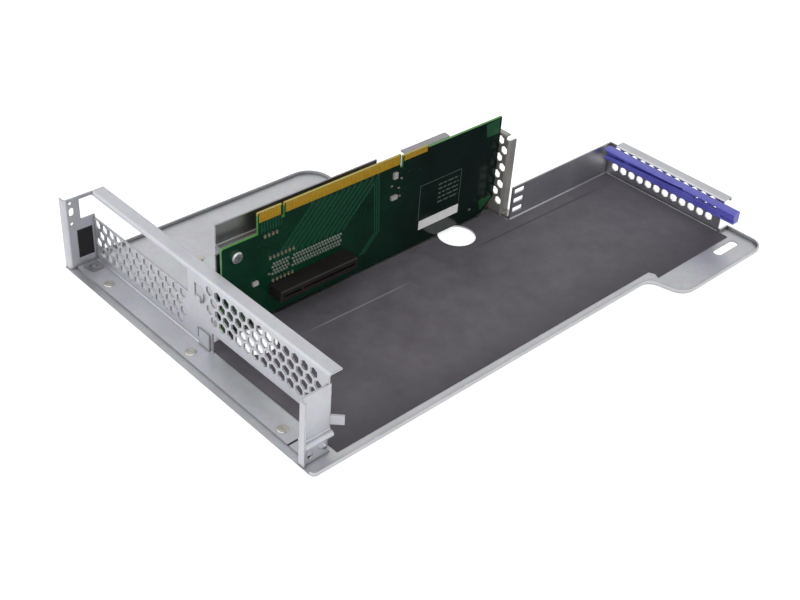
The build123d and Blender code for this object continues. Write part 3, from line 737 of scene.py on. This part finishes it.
def make_fillets():
    """Solder cones round the slot tails on both faces of the board."""
    waist = (FILLET_FOOT + FILLET_TOP) / FILLET_PINCH
    for name, face, side in (("solder_tails_near", board_high.x, 1), ("solder_tails_far", board_low.x, -1)):
        mesh = bmesh.new()
        profile = ((FILLET_FOOT, 0.0), (waist, side * FILLET_HIGH / 3), (FILLET_TOP, side * FILLET_HIGH))
        for low, high in islands(name):
            centre = (low + high) / 2
            centre.x = face
            turned(mesh, centre, profile, "X", FILLET_SIDES)
        finish_piece(name.replace("tails", "fillets"), mesh, finishes["solder"])


def make_capacitor_ends():
    """Tinned end caps over the two ends of each chip capacitor."""
    mesh = bmesh.new()
    skin = CAP_SKIN * MM
    for low, high in islands("capacitors"):
        corners = ((low.x, low.y - skin), (low.x, high.y + skin), (high.x, high.y + skin),
                   (high.x + skin, high.y - 2 * skin), (high.x + skin, low.y + 2 * skin),
                   (high.x, low.y - skin))
        for start, stop in ((low.z - skin, low.z + CAP_END * MM), (high.z - CAP_END * MM, high.z + skin)):
            prism(mesh, [[Vector((x, y, z)) for x, y in corners] for z in (start, stop)])
    finish_piece("capacitor_ends", mesh, finishes["solder"])


def make_chip_parts():
    """Small chip resistors with plated ends, near the middle, the far corner and the slot."""
    bodies, ends = bmesh.new(), bmesh.new()
    long, wide, high = CHIP_SIZE
    end_size = (CHIP_END + CAP_SKIN, wide + 2 * CAP_SKIN, high + CAP_SKIN)
    for along, above in CHIP_PLACES:
        block(bodies, (along, above), CHIP_SIZE, CAP_SKIN)
        for side in (-1, 1):
            block(ends, (along + side * (long - CHIP_END) / 2, above), end_size, CAP_SKIN)
    finish_piece("chip_parts", bodies, finishes["chip_ceramic"])
    finish_piece("chip_part_ends", ends, finishes["plated"])


# Detail inside the slots and on the rivets

def make_contacts():
    """Two rows of bowed spring contacts inside each slot mouth."""
    for name, side in (("card_slot_near", 1), ("card_slot_far", -1)):
        low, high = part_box(name)
        mouth = high.x if side > 0 else low.x
        middle = (low.z + high.z) / 2
        mesh = bmesh.new()
        count = int((high.y - low.y - 2 * CONTACT_INSET * MM) / (CONTACT_PITCH * MM))
        for k in range(count):
            start = low.y + (CONTACT_INSET + k * CONTACT_PITCH) * MM
            stop = start + CONTACT_WIDTH * MM
            for row in (-1, 1):
                rings = []
                for share in CONTACT_SHARES:
                    x = mouth - side * CONTACT_DEEP * share * MM
                    bow = CONTACT_BELLY * math.sin(math.pi * (1.0 - share)) * MM
                    outer = middle + row * (CONTACT_GAP * MM - bow)
                    inner = outer - row * CONTACT_SKIN * MM
                    corners = ((start, outer), (stop, outer), (stop, inner), (start, inner))
                    rings.append([Vector((x, y, z)) for y, z in corners])
                prism(mesh, rings)
        finish_piece(name.replace("card_slot", "slot_contacts"), mesh, finishes["gold"])


def make_rivet_rings():
    """Set mark left by the riveting tool on each head of the foot, web and wing rivets."""
    mesh = bmesh.new()
    step = (RING_OUTER - RING_INNER) / 3
    profile = ((RING_OUTER, -RING_SINK), (RING_OUTER - step, RING_HIGH),
               (RING_INNER + step, RING_HIGH), (RING_INNER, RING_CAP))
    for name in ("foot_rivets", "web_rivets", "wing_rivet"):
        for low, high in islands(name):
            centre = (low + high) / 2
            centre.z = high.z
            turned(mesh, centre, profile, "Z", RING_SIDES)
    finish_piece("rivet_rings", mesh, rivet_steel)


make_traces()
make_zones()
make_silkscreen()
make_vias()
make_fillets()
make_capacitor_ends()
make_chip_parts()
make_contacts()
make_rivet_rings()


# Stage, light and camera

def any_ray(tree, first, *others):
    """One for rays of the kinds named, and zero for the rest."""
    path = add_node(tree, "ShaderNodeLightPath").outputs
    found = path[first]
    for kind in others:
        found = math_node(tree, "MAXIMUM", found, path[kind])
    return found


def floor_material():
    """Pale floor that shows white to the camera and to gloss, and keeps the shadow."""
    material, tree, shader = new_material("floor_pale", Base_Color=FLOOR_TONE, Roughness=FLOOR_ROUGHNESS,
                                          Specular_IOR_Level=0.0)
    seen = any_ray(tree, "Is Camera Ray", "Is Glossy Ray")
    lift = add_node(tree, "ShaderNodeEmission", Strength=FLOOR_LIFT)
    lifted = add_node(tree, "ShaderNodeAddShader")
    choice = add_node(tree, "ShaderNodeMixShader", Fac=seen)
    tree.links.new(shader.outputs[0], lifted.inputs[0])
    tree.links.new(lift.outputs[0], lifted.inputs[1])
    tree.links.new(shader.outputs[0], choice.inputs[1])
    tree.links.new(lifted.outputs[0], choice.inputs[2])
    tree.links.new(choice.outputs[0], tree.nodes["Material Output"].inputs["Surface"])
    return material


def make_floor():
    """Large plain floor just under the part."""
    mesh = bpy.data.meshes.new("floor")
    half = FLOOR_SIZE / 2
    corners = [(-half, -half, 0), (half, -half, 0), (half, half, 0), (-half, half, 0)]
    mesh.from_pydata(corners, [], [(0, 1, 2, 3)])
    floor = bpy.data.objects.new("floor", mesh)
    floor.location.z = cad_low.z - FLOOR_DROP
    bpy.context.scene.collection.objects.link(floor)
    mesh.materials.append(floor_material())


def make_world():
    """White to the camera, to gloss and through glass, and a plain fill elsewhere."""
    world = bpy.data.worlds.new("studio")
    bpy.context.scene.world = world
    world.use_nodes = True
    tree = world.node_tree
    seen = any_ray(tree, "Is Camera Ray", "Is Glossy Ray", "Is Transmission Ray")
    ground = tree.nodes["Background"]
    put(tree, WHITE, ground.inputs["Color"])
    put(tree, span(tree, seen, WORLD_FILL, 1.0), ground.inputs["Strength"])


def make_lamp(name, place, size, watts):
    """Square soft lamp aimed at the middle of the part."""
    lamp = bpy.data.lights.new(name, "AREA")
    lamp.size = size
    lamp.energy = watts
    holder = bpy.data.objects.new(name, lamp)
    holder.location = place
    middle = (cad_low + cad_high) / 2
    holder.rotation_euler = (middle - place).to_track_quat("-Z", "Y").to_euler()
    bpy.context.scene.collection.objects.link(holder)


def make_camera():
    """Camera at the photograph's place, turned and rolled as there."""
    turn, tilt, roll = (math.radians(v) for v in (CAMERA_AZIMUTH, CAMERA_ELEVATION, CAMERA_ROLL))
    back = Vector((math.sin(turn) * math.cos(tilt), -math.cos(turn) * math.cos(tilt), math.sin(tilt)))
    right = Vector((math.cos(turn), math.sin(turn), 0.0))
    up = back.cross(right)
    rolled_right = math.cos(roll) * right + math.sin(roll) * up
    rolled_up = math.cos(roll) * up - math.sin(roll) * right
    data = bpy.data.cameras.new("camera")
    data.lens = CAMERA_LENS
    data.sensor_width = SENSOR_WIDTH
    camera = bpy.data.objects.new("camera", data)
    camera.matrix_world = Matrix((rolled_right, rolled_up, back)).transposed().to_4x4()
    camera.location = CAMERA_PLACE
    bpy.context.scene.collection.objects.link(camera)
    bpy.context.scene.camera = camera


make_floor()
make_world()
make_lamp("key", KEY_PLACE, KEY_SIZE, KEY_WATTS)
make_lamp("side", SIDE_PLACE, SIDE_SIZE, SIDE_WATTS)
make_camera()
bpy.context.scene.view_settings.view_transform = "Standard"
